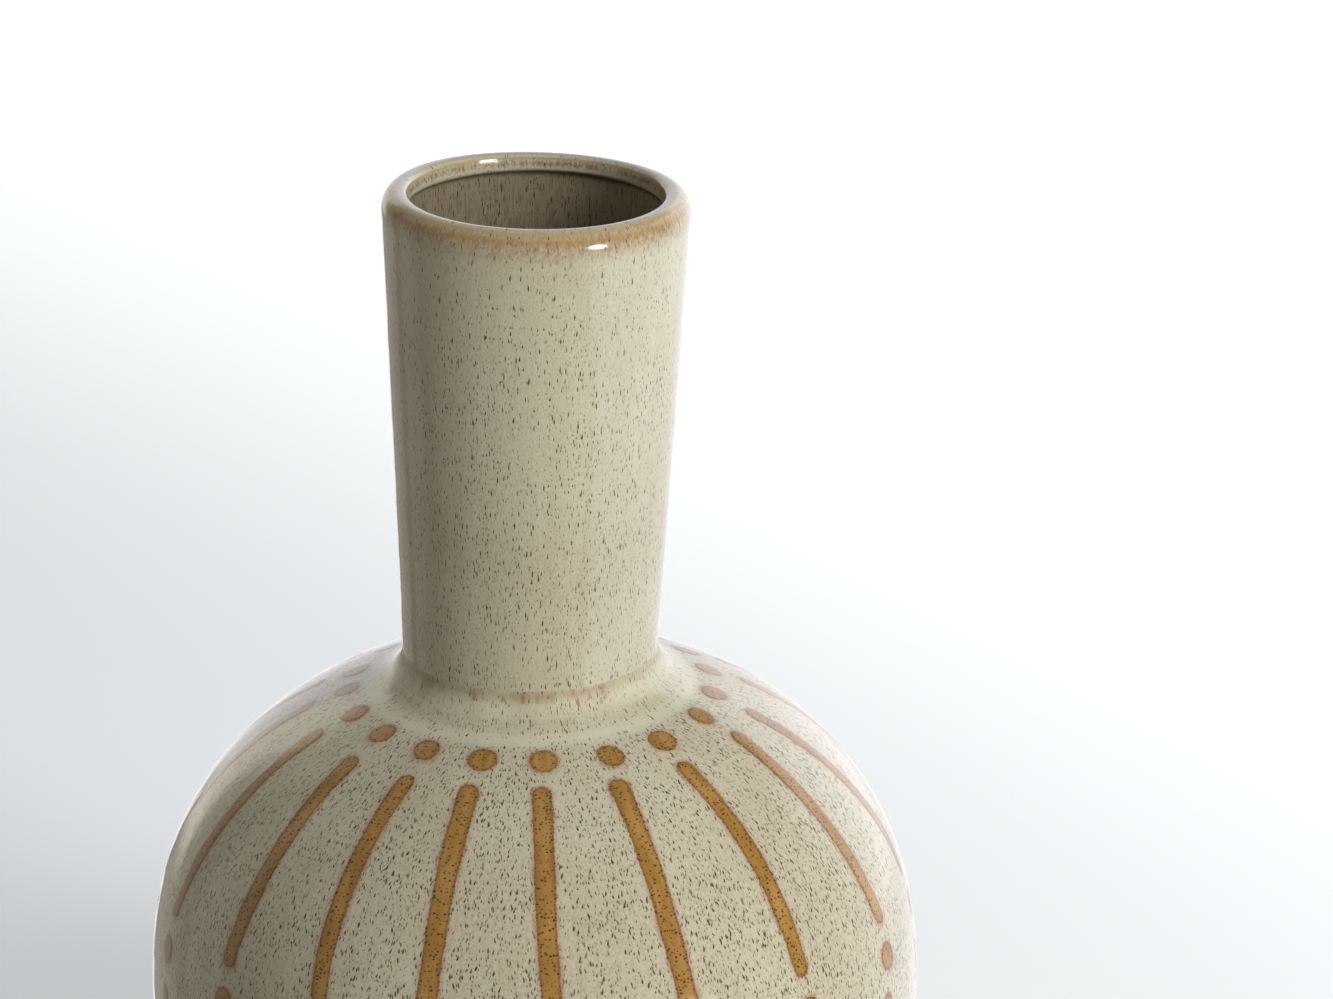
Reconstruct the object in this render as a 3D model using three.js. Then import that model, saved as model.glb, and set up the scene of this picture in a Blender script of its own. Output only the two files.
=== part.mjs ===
// Tall-necked stoneware vase: a thrown globe, a neck thrown separately and luted on, a coil of clay
// smoothed round the joint, and brushed marks of ochre slip standing slightly proud of the glaze.
// Millimetres, +Z up. The origin is the centre of the foot's underside; -Y is the front.
import * as THREE from "three";

// ---- driving dimensions -------------------------------------------------------------------------
const totalHeight = 370;
const bellyRadius = 125;
const bellyHalfHeight = 108.5; // from the widest level to the globe's pole
const bellyCentre = 105.2; // height of the widest level
const roundness = 2.235; // superellipse exponent of the globe's outline; 2 is a true ellipse
const wall = 6.4;

const seamHeight = 216.6; // where the neck is luted to the globe
const rimRadius = 47.7;
const neckTaper = 0.0456; // radius lost per millimetre below the rim
const mouthRadius = 40;
const lipHeight = 4.5; // inner band under the rim
const lipStep = 1.4; // the wall steps back this far under the band
const rimRounding = 5;
const neckChamfer = 1; // bevel on the neck's lower edge, where the coil bites
const neckLean = THREE.MathUtils.degToRad(1.5); // the neck dried slightly off true, towards +X
const leanBlend = 25; // height over which the lean sets in

const footRadius = 60;
const footWidth = 9;
const footRecess = 5;
const footSlope = 3; // how far the recess leans in under the base
const footBevel = 1;
const floorHeight = 12; // the flat floor inside
const floorRadius = 48;
const insideTopRadius = 46; // the inside of the wall runs between these radii
const insideBottomRadius = 54;
const boreFlare = 3.5; // the bore widens by this much below the throat

const gap = 0.3; // clearance between neighbouring solids
const coilSpread = 53.2; // radius where the luting coil runs out on the shoulder
const coilRise = 1.6; // how far the coil is smeared up the neck above the seam
const coilEdge = 0.4; // thickness the coil thins out to
const coilTopWidth = 0.8;
const coilBite = 0.6; // how far the coil reaches down into the joint
const coilHollow = 8.7; // how far in from its edge the coil's face is drawn
const throatStart = 50; // radius where the belly's outline turns up into the throat
const throatInset = 1.2; // the throat stands this far inside the neck's face
const throatFlare = 1.5;
const shoulderRise = 2.7; // height of the bend from shoulder to throat

const strokeCount = 19; // brush marks in each ring
const strokePitch = 360 / strokeCount;
const firstStroke = -85.4; // azimuth of the mark nearest the front, in degrees
// how far the painter's hand drifted from even spacing, in degrees, mark by mark from the front
const strokeDrift = [-2, -2, -1, 2, 2, 3, 1, 0, -1, 0, 1, -1, 1, 3, -1, -1, -1, 0, -1];
const dotRadius = 4.6;
const stripeWidth = 6;
const strokeLift = 0.9; // crown of a mark above its own edge
const dotShoulder = 0.8; // share of a dot's radius at which its crown begins
const dotShoulderLift = 0.7; // share of the crown's height reached there
const stripeTip = 0.6; // length of the point at each end of a stripe
// distances from the globe's pole, measured along its surface
const shoulderDotArc = 59.2;
const stripeStartArc = 71.5;
const stripeEndArc = 150;
const waistDotArc = 161;

const turnSegments = 48;
const dotSides = 10;
const stripeSteps = 9;
const bellySteps = 16;
const insideSteps = 12;
const straightSteps = 6;
const outerRimSteps = 4;
const innerRimSteps = 3;

// ---- materials ------------------------------------------------------------------------------------
const glazedClay = () => new THREE.MeshStandardMaterial({ color: 0xcdc8b0, roughness: 0.25, metalness: 0 });
const neckGlaze = () => new THREE.MeshStandardMaterial({ color: 0xc2bba2, roughness: 0.25, metalness: 0 });
const collarGlaze = () => new THREE.MeshStandardMaterial({ color: 0xd3d3bd, roughness: 0.22, metalness: 0 });
const ochreSlip = () => new THREE.MeshStandardMaterial({ color: 0xab8041, roughness: 0.3, metalness: 0 });

// ---- outlines -------------------------------------------------------------------------------------
// A point of the globe's outline. The angle runs from 0 at the pole to PI at the bottom, and inset
// moves the outline inwards, for the inside of the wall.
function globeOutline(angle, inset = 0) {
  const power = 2 / roundness;
  const cosine = Math.cos(angle);
  return new THREE.Vector2(
    (bellyRadius - inset) * Math.sin(angle) ** power,
    bellyCentre + (bellyHalfHeight - inset) * Math.sign(cosine) * Math.abs(cosine) ** power,
  );
}

// The angle at which the outline has a given radius, above or below the belly.
function angleAtRadius(radius, inset = 0, below = false) {
  const angle = Math.asin((radius / (bellyRadius - inset)) ** (roundness / 2));
  return below ? Math.PI - angle : angle;
}

function outlineBetween(fromAngle, toAngle, steps, inset = 0) {
  const points = [];
  for (let i = 0; i <= steps; i++) {
    points.push(globeOutline(THREE.MathUtils.lerp(fromAngle, toAngle, i / steps), inset));
  }
  return points;
}

const point = (radius, height) => new THREE.Vector2(radius, height);

// Points along a soft bend from start to end that leans towards a control point.
const bend = (start, control, end, steps) => new THREE.QuadraticBezierCurve(start, control, end).getPoints(steps);

// Turns a profile about the Z axis. The profile runs upwards on the outside and down on the inside.
function turned(profile) {
  return new THREE.LatheGeometry(profile, turnSegments).rotateX(Math.PI / 2);
}

// Tilts everything above the seam, a little at first and by the whole lean further up.
function leaned(geometry) {
  const position = geometry.attributes.position;
  for (let i = 0; i < position.count; i++) {
    const above = position.getZ(i) - seamHeight;
    const share = THREE.MathUtils.smoothstep(above, 0, leanBlend);
    const angle = neckLean * share;
    const x = position.getX(i);
    position.setX(i, x * Math.cos(angle) + above * Math.sin(angle));
    position.setZ(i, seamHeight + above * Math.cos(angle) - x * Math.sin(angle));
  }
  geometry.computeVertexNormals();
  return geometry;
}

// ---- clay pieces ----------------------------------------------------------------------------------
const neckOuterRadius = (height) => rimRadius - neckTaper * (totalHeight - height);
const throatRadius = neckOuterRadius(seamHeight) - throatInset; // outside of the globe's upturned throat
const boreRadius = neckOuterRadius(seamHeight) - wall;

// The outside of the upturned throat, from the shoulder up to the seam, moved out by a clearance.
function throatBend(clearance, top) {
  const shoulder = globeOutline(angleAtRadius(throatStart));
  return bend(
    point(throatStart + clearance / 2, shoulder.y + clearance),
    point(throatRadius + throatFlare + clearance, shoulder.y + shoulderRise + clearance),
    point(throatRadius + clearance, top),
    4,
  );
}

// The globe: turned foot with a recessed base, belly, and a short upturned throat that carries the neck.
function globeGeometry() {
  const footInner = footRadius - footWidth;
  const throatTop = seamHeight - gap / 2;
  const bellyStart = angleAtRadius(footRadius - footBevel, 0, true);
  const bellyEnd = angleAtRadius(throatStart + 1);
  const insideStart = angleAtRadius(insideTopRadius, wall);
  const insideEnd = angleAtRadius(insideBottomRadius, wall, true);
  return turned([
    point(0, footRecess),
    point(footInner - footSlope, footRecess),
    point(footInner, footBevel),
    point(footInner + footBevel, 0),
    point(footRadius - footBevel, 0),
    point(footRadius, footBevel),
    ...outlineBetween(bellyStart, bellyEnd, bellySteps),
    ...throatBend(0, throatTop),
    point(boreRadius, throatTop),
    point(boreRadius, throatTop - wall),
    point(boreRadius + boreFlare, throatTop - 2 * wall + shoulderRise),
    ...outlineBetween(insideStart, insideEnd, insideSteps, wall),
    point(floorRadius, floorHeight),
    point(0, floorHeight),
  ]);
}

// The neck: a tapering tube with a rounded rim and a thick lip turned in at the mouth.
function neckGeometry() {
  const profile = [];
  const foot = seamHeight + gap / 2;
  const straightTop = totalHeight - rimRounding;
  profile.push(point(neckOuterRadius(foot) - neckChamfer, foot));
  for (let i = 0; i <= straightSteps; i++) {
    const height = THREE.MathUtils.lerp(foot + neckChamfer, straightTop, i / straightSteps);
    profile.push(point(neckOuterRadius(height), height));
  }
  for (let i = 1; i <= outerRimSteps; i++) {
    const angle = (i / outerRimSteps) * (Math.PI / 2);
    const outward = rimRounding * (Math.cos(angle) - 1);
    profile.push(point(rimRadius + outward, straightTop + rimRounding * Math.sin(angle)));
  }
  const innerRounding = rimRadius - rimRounding - mouthRadius;
  for (let i = 1; i <= innerRimSteps; i++) {
    const angle = (i / innerRimSteps) * (Math.PI / 2);
    profile.push(
      point(
        mouthRadius + innerRounding * (1 - Math.sin(angle)),
        totalHeight - innerRounding * (1 - Math.cos(angle)),
      ),
    );
  }
  const underLip = totalHeight - lipHeight - lipStep;
  profile.push(point(mouthRadius, totalHeight - lipHeight));
  for (let i = 0; i <= straightSteps; i++) {
    profile.push(point(mouthRadius + lipStep, underLip).lerp(point(boreRadius, foot), i / straightSteps));
  }
  profile.push(profile[0].clone());
  return leaned(turned(profile));
}

// The coil of soft clay pressed round the seam: hollow-curved outside, fitted to throat and shoulder.
function lutingCoilGeometry() {
  const neckSide = neckOuterRadius(seamHeight) + gap;
  const top = seamHeight + coilRise;
  const underside = throatBend(gap, seamHeight - coilBite).reverse();
  const edge = globeOutline(angleAtRadius(coilSpread)).y + gap;
  const outside = bend(
    point(coilSpread, edge + coilEdge),
    point(coilSpread - coilHollow, edge + shoulderRise),
    point(neckSide + coilTopWidth, top),
    7,
  );
  return turned([
    ...underside,
    point(coilSpread, edge),
    ...outside,
    point(neckSide, top - coilEdge),
    point(neckSide, seamHeight - coilBite),
    underside[0].clone(),
  ]);
}

// ---- brush marks ----------------------------------------------------------------------------------
// The globe's outline measured along the surface from the pole, as evenly spaced samples.
const outlineSamples = outlineBetween(0, Math.PI, 2000);
const outlineArcs = [0];
for (let i = 1; i < outlineSamples.length; i++) {
  outlineArcs.push(outlineArcs[i - 1] + outlineSamples[i].distanceTo(outlineSamples[i - 1]));
}

// A point above the globe: distance along the surface, azimuth in radians, and height above the glaze.
function aboveGlobe(arc, azimuth, lift) {
  const i = outlineArcs.findIndex((length) => length >= arc);
  const here = outlineSamples[i];
  const slope = new THREE.Vector2().subVectors(outlineSamples[i + 1], outlineSamples[i - 1]).normalize();
  const radius = here.x - slope.y * lift;
  const height = here.y + slope.x * lift;
  return new THREE.Vector3(radius * Math.cos(azimuth), radius * Math.sin(azimuth), height);
}

// A closed solid from rings of points: a fan over each end and strips between neighbouring rings.
function solidFromRings(rings, firstTip, lastTip) {
  const corners = [firstTip, ...rings.flat(), lastTip];
  const around = rings[0].length;
  const last = corners.length - 1;
  const index = [];
  for (let j = 0; j < around; j++) {
    const next = (j + 1) % around;
    index.push(0, 1 + next, 1 + j);
    for (let k = 0; k < rings.length - 1; k++) {
      const low = 1 + k * around;
      const high = low + around;
      index.push(low + j, low + next, high + next, low + j, high + next, high + j);
    }
    index.push(last, last - around + j, last - around + next);
  }
  const geometry = new THREE.BufferGeometry().setFromPoints(corners);
  geometry.setIndex(index);
  geometry.computeVertexNormals();
  return geometry;
}

// A round dab: flat under, crowned on top, its edge following the surface.
function dotGeometry(arc, azimuth) {
  const radiusHere = aboveGlobe(arc, azimuth, 0).setZ(0).length();
  const ring = (size, lift) => {
    const points = [];
    for (let j = 0; j < dotSides; j++) {
      const angle = (j / dotSides) * 2 * Math.PI;
      const sideways = (size * Math.sin(angle)) / radiusHere;
      points.push(aboveGlobe(arc + size * Math.cos(angle), azimuth + sideways, lift));
    }
    return points;
  };
  const rings = [ring(dotRadius, gap), ring(dotRadius * dotShoulder, gap + strokeLift * dotShoulderLift)];
  return solidFromRings(rings, aboveGlobe(arc, azimuth, gap), aboveGlobe(arc, azimuth, gap + strokeLift));
}

// A long stroke down the shoulder, with round ends.
function stripeGeometry(startArc, endArc, azimuth) {
  const rings = [];
  for (let k = 0; k <= stripeSteps; k++) {
    const share = 0.5 - 0.5 * Math.cos((k / stripeSteps) * Math.PI); // closer rings towards the ends
    const arc = THREE.MathUtils.lerp(startArc + stripeTip, endArc - stripeTip, share);
    const toEnd = Math.min(arc - startArc, endArc - arc, stripeWidth / 2);
    const half = Math.sqrt(toEnd * (stripeWidth - toEnd));
    const radiusHere = aboveGlobe(arc, azimuth, 0).setZ(0).length();
    const side = half / radiusHere;
    rings.push([
      aboveGlobe(arc, azimuth - side, gap),
      aboveGlobe(arc, azimuth, gap),
      aboveGlobe(arc, azimuth + side, gap),
      aboveGlobe(arc, azimuth, gap + strokeLift * Math.min(1, half / (stripeWidth / 2))),
    ]);
  }
  const tip = (arc) => aboveGlobe(arc, azimuth, gap + strokeLift / 8);
  return solidFromRings(rings, tip(startArc), tip(endArc));
}

// ---- the assembly ---------------------------------------------------------------------------------
const vase = new THREE.Group();

function add(name, geometry, material) {
  const mesh = new THREE.Mesh(geometry, material);
  mesh.name = name;
  vase.add(mesh);
}

add("globe", globeGeometry(), glazedClay());
add("neck", neckGeometry(), neckGlaze());
add("luting_coil", lutingCoilGeometry(), collarGlaze());

for (let i = 0; i < strokeCount; i++) {
  const azimuth = THREE.MathUtils.degToRad(firstStroke + i * strokePitch + strokeDrift[i]);
  const number = String(i + 1).padStart(2, "0");
  add(`shoulder_dot_${number}`, dotGeometry(shoulderDotArc, azimuth), ochreSlip());
  add(`shoulder_stripe_${number}`, stripeGeometry(stripeStartArc, stripeEndArc, azimuth), ochreSlip());
  add(`waist_dot_${number}`, dotGeometry(waistDotArc, azimuth), ochreSlip());
}

export default vase;
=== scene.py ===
import math

import bmesh
import bpy
import mathutils
import numpy as np
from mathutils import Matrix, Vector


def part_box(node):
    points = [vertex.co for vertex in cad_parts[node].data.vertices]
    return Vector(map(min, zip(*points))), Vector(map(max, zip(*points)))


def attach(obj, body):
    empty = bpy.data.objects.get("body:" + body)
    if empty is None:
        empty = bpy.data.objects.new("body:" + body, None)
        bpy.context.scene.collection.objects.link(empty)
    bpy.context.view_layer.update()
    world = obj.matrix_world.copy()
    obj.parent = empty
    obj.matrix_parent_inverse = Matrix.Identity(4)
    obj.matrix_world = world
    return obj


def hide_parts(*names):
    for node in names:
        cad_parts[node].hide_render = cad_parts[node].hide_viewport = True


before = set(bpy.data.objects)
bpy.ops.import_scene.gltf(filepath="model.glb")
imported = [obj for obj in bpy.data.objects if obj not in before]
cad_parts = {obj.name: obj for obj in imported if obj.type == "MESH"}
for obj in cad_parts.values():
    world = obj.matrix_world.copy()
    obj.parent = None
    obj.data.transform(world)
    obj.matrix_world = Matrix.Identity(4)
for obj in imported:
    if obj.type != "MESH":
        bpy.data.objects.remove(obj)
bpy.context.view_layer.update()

# Stoneware vase in metres, in the CAD frame: Z up, the foot's underside at Z 0, the front towards -Y.
# Outlines, widths and heights below are in millimetres and are scaled by MM as a mesh is made.
MM = 0.001


# ---------------------------------------------------------------- sizes
globe_low, globe_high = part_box("globe")
neck_low, neck_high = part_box("neck")

BELLY_RADIUS = (globe_high.x - globe_low.x) / 2 / MM
BELLY_HALF_HEIGHT = 108.5
BELLY_CENTRE = 105.2
ROUNDNESS = 2.235  # superellipse exponent of the globe's outline
WALL = 6.4

FOOT_RADIUS = 60.0
FOOT_WIDTH = 9.0
FOOT_RECESS = 5.0
FLOOR_HEIGHT = 12.0  # the floor inside
INSIDE_TOP_RADIUS = 46  # the inside of the globe's wall runs between these radii
INSIDE_BOTTOM_RADIUS = 54

SEAM = neck_low.z / MM
THROAT_INSET = 1.2  # the globe's throat stands this far inside the neck's face
THROAT_TOP = SEAM - 0.15
THROAT_DEPTH = 4  # how far the bore runs straight down inside the throat
SHOULDER_START = 49.7  # radius where the shoulder turns up into the throat
SHOULDER_INSIDE = 205.5  # height at which the bore turns out under the shoulder

NECK_LEAN = math.radians(1.5)
LEAN_BLEND = 25.0  # height over which the lean sets in
NECK_TAPER = 0.0456  # radius lost per millimetre below the rim
NECK_WALL = 6.2
NECK_OVERLAP = 0.4  # how far the neck reaches below the seam, hidden by the coil
RIM_RADIUS = 47.7
RIM_ROUNDING = 5.0
RIM_DROP = 6.5  # how far the outer rounding of the rim reaches down
MOUTH_RADIUS = 40.0
MOUTH_DROP = 1.3  # height of the rounding on the inside of the rim
LIP_HEIGHT = 5.2
LIP_SLOPE = 0.65  # the lip leans in by this much towards its lower edge
LIP_STEP = 1.4  # the wall steps back this far under the lip
RIM_HEIGHT = SEAM + (neck_high.z / MM - SEAM - (RIM_RADIUS - RIM_ROUNDING) * math.sin(NECK_LEAN))
NECK_FOOT_RADIUS = RIM_RADIUS - NECK_TAPER * (RIM_HEIGHT - SEAM)
BORE_RADIUS = NECK_FOOT_RADIUS - NECK_WALL

COIL_SPREAD = 53.2  # radius where the luting coil runs out on the shoulder
COIL_RISE = 1.6  # how far it is smeared up the neck above the seam
COIL_LENGTH = 17.0  # flow from the seam to the coil's edge

# Distances from the globe's pole, along its surface
SHOULDER_DOT_ARC = 60.2
STRIPE_ARCS = (71.5, 150.0)
WAIST_DOT_ARC = 161.0
BELLY_STRIPE_ARCS = (172.5, 251.0)
FOOT_DOT_ARC = 262.0

DOT_RADIUS = 4.5
STRIPE_HALF_WIDTH = 3.0
STROKES = 19
TURN_STEPS = 320


# ---------------------------------------------------------------- outlines
def globe_outline(angle, inset=0.0):
    """(radius, height) of the globe at an angle from its pole."""
    power = 2 / ROUNDNESS
    cosine = np.cos(angle)
    radius = (BELLY_RADIUS - inset) * np.abs(np.sin(angle)) ** power
    height = BELLY_CENTRE + (BELLY_HALF_HEIGHT - inset) * np.sign(cosine) * np.abs(cosine) ** power
    return np.stack([radius, height], -1)


def lengths(points):
    """Distance along a run of points."""
    steps = np.linalg.norm(np.diff(points, axis=0), axis=1)
    return np.concatenate([[0.0], np.cumsum(steps)])


def towards(azimuth, elevation):
    """Unit vector from the vase towards a direction, in degrees."""
    a, e = math.radians(azimuth), math.radians(elevation)
    return np.array([math.cos(a) * math.cos(e), math.sin(a) * math.cos(e), math.sin(e)])


def point_at(at, along, points):
    """Where an outline is at some distances along it."""
    return np.stack([np.interp(at, along, points[:, 0]), np.interp(at, along, points[:, 1])], -1)


POLE_TO_POLE = globe_outline(np.linspace(0, math.pi, 20001))
POLE_ARCS = lengths(POLE_TO_POLE)
SLOPE_REACH = 0.5  # half the length of outline that a normal is measured over


def globe_at(arc):
    """Radius, height and outward normal of the globe's outline at a distance from the pole."""
    place = point_at(arc, POLE_ARCS, POLE_TO_POLE)
    along = point_at(arc + SLOPE_REACH, POLE_ARCS, POLE_TO_POLE)
    along = along - point_at(arc - SLOPE_REACH, POLE_ARCS, POLE_TO_POLE)
    along /= np.linalg.norm(along, axis=-1, keepdims=True)
    return place[..., 0], place[..., 1], -along[..., 1], along[..., 0]


def arc_at_radius(radius, below=False):
    """Distance from the pole at which the globe has a radius, above or below its widest."""
    widest = np.argmax(POLE_TO_POLE[:, 0])
    if below:
        return np.interp(-radius, -POLE_TO_POLE[widest:, 0], POLE_ARCS[widest:])
    return np.interp(radius, POLE_TO_POLE[: widest + 1, 0], POLE_ARCS[: widest + 1])


def bend(start, control, end, steps):
    """Points of a soft bend from start to end that leans towards control."""
    t = np.linspace(0, 1, steps + 1)[:, None]
    start, control, end = np.array(start), np.array(control), np.array(end)
    return (1 - t) ** 2 * start + 2 * t * (1 - t) * control + t**2 * end


CORNER_SHARE = 0.45  # most of a side's length that one rounded corner may take up


def rounded(points, radius, steps=4):
    """An outline with its inner corners rounded."""
    made = [np.array(points[0], float)]
    for before, corner, after in zip(points, points[1:], points[2:]):
        before, corner, after = np.array(before), np.array(corner), np.array(after)
        back, on = before - corner, after - corner
        reach = min(radius, np.linalg.norm(back) * CORNER_SHARE, np.linalg.norm(on) * CORNER_SHARE)
        start = corner + back / np.linalg.norm(back) * reach
        end = corner + on / np.linalg.norm(on) * reach
        made.extend(bend(start, corner, end, steps))
    made.append(np.array(points[-1], float))
    return np.array(made)


def resample(points, step):
    """The same outline in even steps."""
    along = lengths(points)
    count = max(2, int(round(along[-1] / step)) + 1)
    return point_at(np.linspace(0, along[-1], count), along, points)


# ---------------------------------------------------------------- flow: distance down from the rim
# Every glazed surface carries "flow", in millimetres: 0 on the crest of the rim, growing down the
# outside and falling below 0 down the inside. The glaze's streaks, specks and rim lines follow it.
def rim_rounding(steps):
    """The outside of the rim, from the top of the neck's wall up to the crest."""
    quarter = np.linspace(0, math.pi / 2, steps + 1)
    radius = RIM_RADIUS - RIM_ROUNDING + RIM_ROUNDING * np.cos(quarter)
    return np.stack([radius, RIM_HEIGHT - RIM_DROP + RIM_DROP * np.sin(quarter)], -1)


RIM_QUARTER = lengths(rim_rounding(60))[-1]
COIL_FLOW = RIM_QUARTER + (RIM_HEIGHT - RIM_DROP) - SEAM
GLOBE_FLOW = COIL_FLOW + COIL_LENGTH - arc_at_radius(COIL_SPREAD)  # flow at the globe's own pole
FOOT_ARC = arc_at_radius(FOOT_RADIUS - 1, below=True)  # where the globe meets the foot ring


# ---------------------------------------------------------------- the potter's hand
def hand(turn, flow):
    """How far the surface stands off the true outline: throwing rings and a trace of ovalness.

    All of it is in millimetres: fine rings, broad ones, and two and three lobes round the pot.
    """
    rings = 0.012 * np.sin(flow / 2.3 + 0.8 * np.sin(turn + flow / 31))
    rings += 0.035 * np.sin(flow / 8.3 + 1.1 * np.sin(turn * 2 - flow / 47) + 1.3)
    oval = 0.22 * np.cos(2 * turn + 0.7 + flow / 160) + 0.12 * np.cos(3 * turn - 1.1)
    return rings + oval


def lean(points):
    """Tilts what is above the seam, a little at first and by the whole lean further up."""
    above = points[:, 2] - SEAM
    t = np.clip(above / LEAN_BLEND, 0, 1)
    angle = NECK_LEAN * t * t * (3 - 2 * t)
    leaned = points.copy()
    leaned[:, 0] = points[:, 0] * np.cos(angle) + above * np.sin(angle)
    leaned[:, 2] = SEAM + above * np.cos(angle) - points[:, 0] * np.sin(angle)
    return leaned


# ---------------------------------------------------------------- meshes
def new_object(name, points, faces, attributes, material):
    """A smooth mesh from points in millimetres, with numbers or vectors stored at its points."""
    mesh = bpy.data.meshes.new(name)
    mesh.from_pydata((points * MM).tolist(), [], faces)
    for key, values in attributes.items():
        values = np.asarray(values, float)
        kind = "FLOAT_VECTOR" if values.ndim == 2 else "FLOAT"
        layer = mesh.attributes.new(key, kind, "POINT")
        layer.data.foreach_set("vector" if values.ndim == 2 else "value", values.ravel())
    mesh.shade_smooth()
    mesh.materials.append(material)
    mesh.update()
    made = bpy.data.objects.new(name, mesh)
    bpy.context.scene.collection.objects.link(made)
    return made


def compass(turn):
    """Unit vectors towards some turns about Z."""
    return np.stack([np.cos(turn), np.sin(turn), np.zeros(len(turn))], -1)


def profile_normals(profile, closed):
    """Outward normals of an outline that runs up the outside."""
    if closed:
        along = np.roll(profile, -1, axis=0) - np.roll(profile, 1, axis=0)
    else:
        along = np.gradient(profile, axis=0)
    along /= np.maximum(np.linalg.norm(along, axis=1, keepdims=True), 1e-9)
    return np.stack([along[:, 1], -along[:, 0]], -1)


def revolve(name, profile, flow, material, closed=True, ease=None, after=None):
    """Turns an outline about Z.

    ease scales the potter's hand along the outline. An open outline gets a flat face at each end.
    """
    normals = profile_normals(profile, closed)
    turn = np.linspace(0, 2 * math.pi, TURN_STEPS, endpoint=False)
    rows, cols = len(profile), TURN_STEPS
    off = hand(turn[None, :], flow[:, None])
    if ease is not None:
        off = off * ease[:, None]
    radius = profile[:, :1] + normals[:, :1] * off
    height = profile[:, 1:] + normals[:, 1:] * off
    points = np.stack([radius * np.cos(turn), radius * np.sin(turn), height], -1).reshape(-1, 3)
    if after is not None:
        points = after(points)
    faces = []
    for row in range(rows if closed else rows - 1):
        low, high = row * cols, (row + 1) % rows * cols
        for col in range(cols):
            right = (col + 1) % cols
            faces.append((low + col, low + right, high + right, high + col))
    if not closed:
        faces.append(tuple(reversed(range(cols))))
        faces.append(tuple(range((rows - 1) * cols, rows * cols)))
    attributes = {"flow": np.repeat(flow, cols), "around": np.tile(compass(turn), (rows, 1))}
    return new_object(name, points, faces, attributes, material)


def finish_piece(piece, slot, *nodes):
    """Ties a piece to the pot's one body and hides the CAD nodes that it stands for. slot is not used."""
    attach(piece, "root")
    if nodes:
        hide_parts(*nodes)


# ---------------------------------------------------------------- shader graphs
GLAZE_IOR = 1.62


class Graph:
    """Short calls that add shader nodes to a tree. A value is a number or another node's socket."""

    def __init__(self, tree):
        self.tree = tree

    def node(self, kind, **settings):
        made = self.tree.nodes.new(kind)
        for key, value in settings.items():
            setattr(made, key, value)
        return made

    def feed(self, socket, value):
        """Links a node's output to a socket, or sets the socket to a number or colour."""
        if isinstance(value, bpy.types.NodeSocket):
            self.tree.links.new(value, socket)
        elif isinstance(value, (tuple, list)) and len(value) == 3 and socket.type == "RGBA":
            socket.default_value = (*value, 1)
        else:
            socket.default_value = value

    def math(self, operation, a, b=0.0):
        made = self.node("ShaderNodeMath", operation=operation)
        for socket, value in zip(made.inputs, (a, b)):
            self.feed(socket, value)
        return made.outputs[0]

    def add(self, a, b):
        return self.math("ADD", a, b)

    def sub(self, a, b):
        return self.math("SUBTRACT", a, b)

    def mul(self, a, b):
        return self.math("MULTIPLY", a, b)

    def div(self, a, b):
        return self.math("DIVIDE", a, b)

    def smooth(self, value, low, high, to_low=0.0, to_high=1.0):
        """A soft step from to_low at low to to_high at high."""
        made = self.node("ShaderNodeMapRange", interpolation_type="SMOOTHSTEP")
        settings = {"From Min": low, "From Max": high, "To Min": to_low, "To Max": to_high}
        self.feed(made.inputs["Value"], value)
        for key, item in settings.items():
            self.feed(made.inputs[key], item)
        return made.outputs[0]

    def ridge(self, value, centre, width):
        """1 at centre, falling smoothly to 0 at width to either side."""
        return self.smooth(self.math("ABSOLUTE", self.sub(value, centre)), 0.0, width, 1.0, 0.0)

    def attribute(self, name, output):
        return self.node("ShaderNodeAttribute", attribute_name=name).outputs[output]

    def split(self, vector):
        made = self.node("ShaderNodeSeparateXYZ")
        self.feed(made.inputs[0], vector)
        return made.outputs

    def vector(self, x, y, z):
        made = self.node("ShaderNodeCombineXYZ")
        for socket, value in zip(made.inputs, (x, y, z)):
            self.feed(socket, value)
        return made.outputs[0]

    def noise(self, vector, scale, detail=2.0, roughness=0.5):
        made = self.node("ShaderNodeTexNoise")
        self.feed(made.inputs["Vector"], vector)
        made.inputs["Scale"].default_value = scale
        made.inputs["Detail"].default_value = detail
        made.inputs["Roughness"].default_value = roughness
        return made.outputs[0]

    def place(self):
        """The position on the object, in metres."""
        return self.node("ShaderNodeTexCoord").outputs["Object"]

    def mix(self, factor, a, b):
        """Colour a where factor is 0 and colour b where it is 1."""
        made = self.node("ShaderNodeMix", data_type="RGBA")
        self.feed(made.inputs[0], factor)
        self.feed(made.inputs[6], a)
        self.feed(made.inputs[7], b)
        return made.outputs[2]

    def tint(self, colour, factor, share, over):
        """A colour with another laid over it where factor is 1, at most by share."""
        return self.mix(self.mul(factor, share), colour, over)


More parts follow.
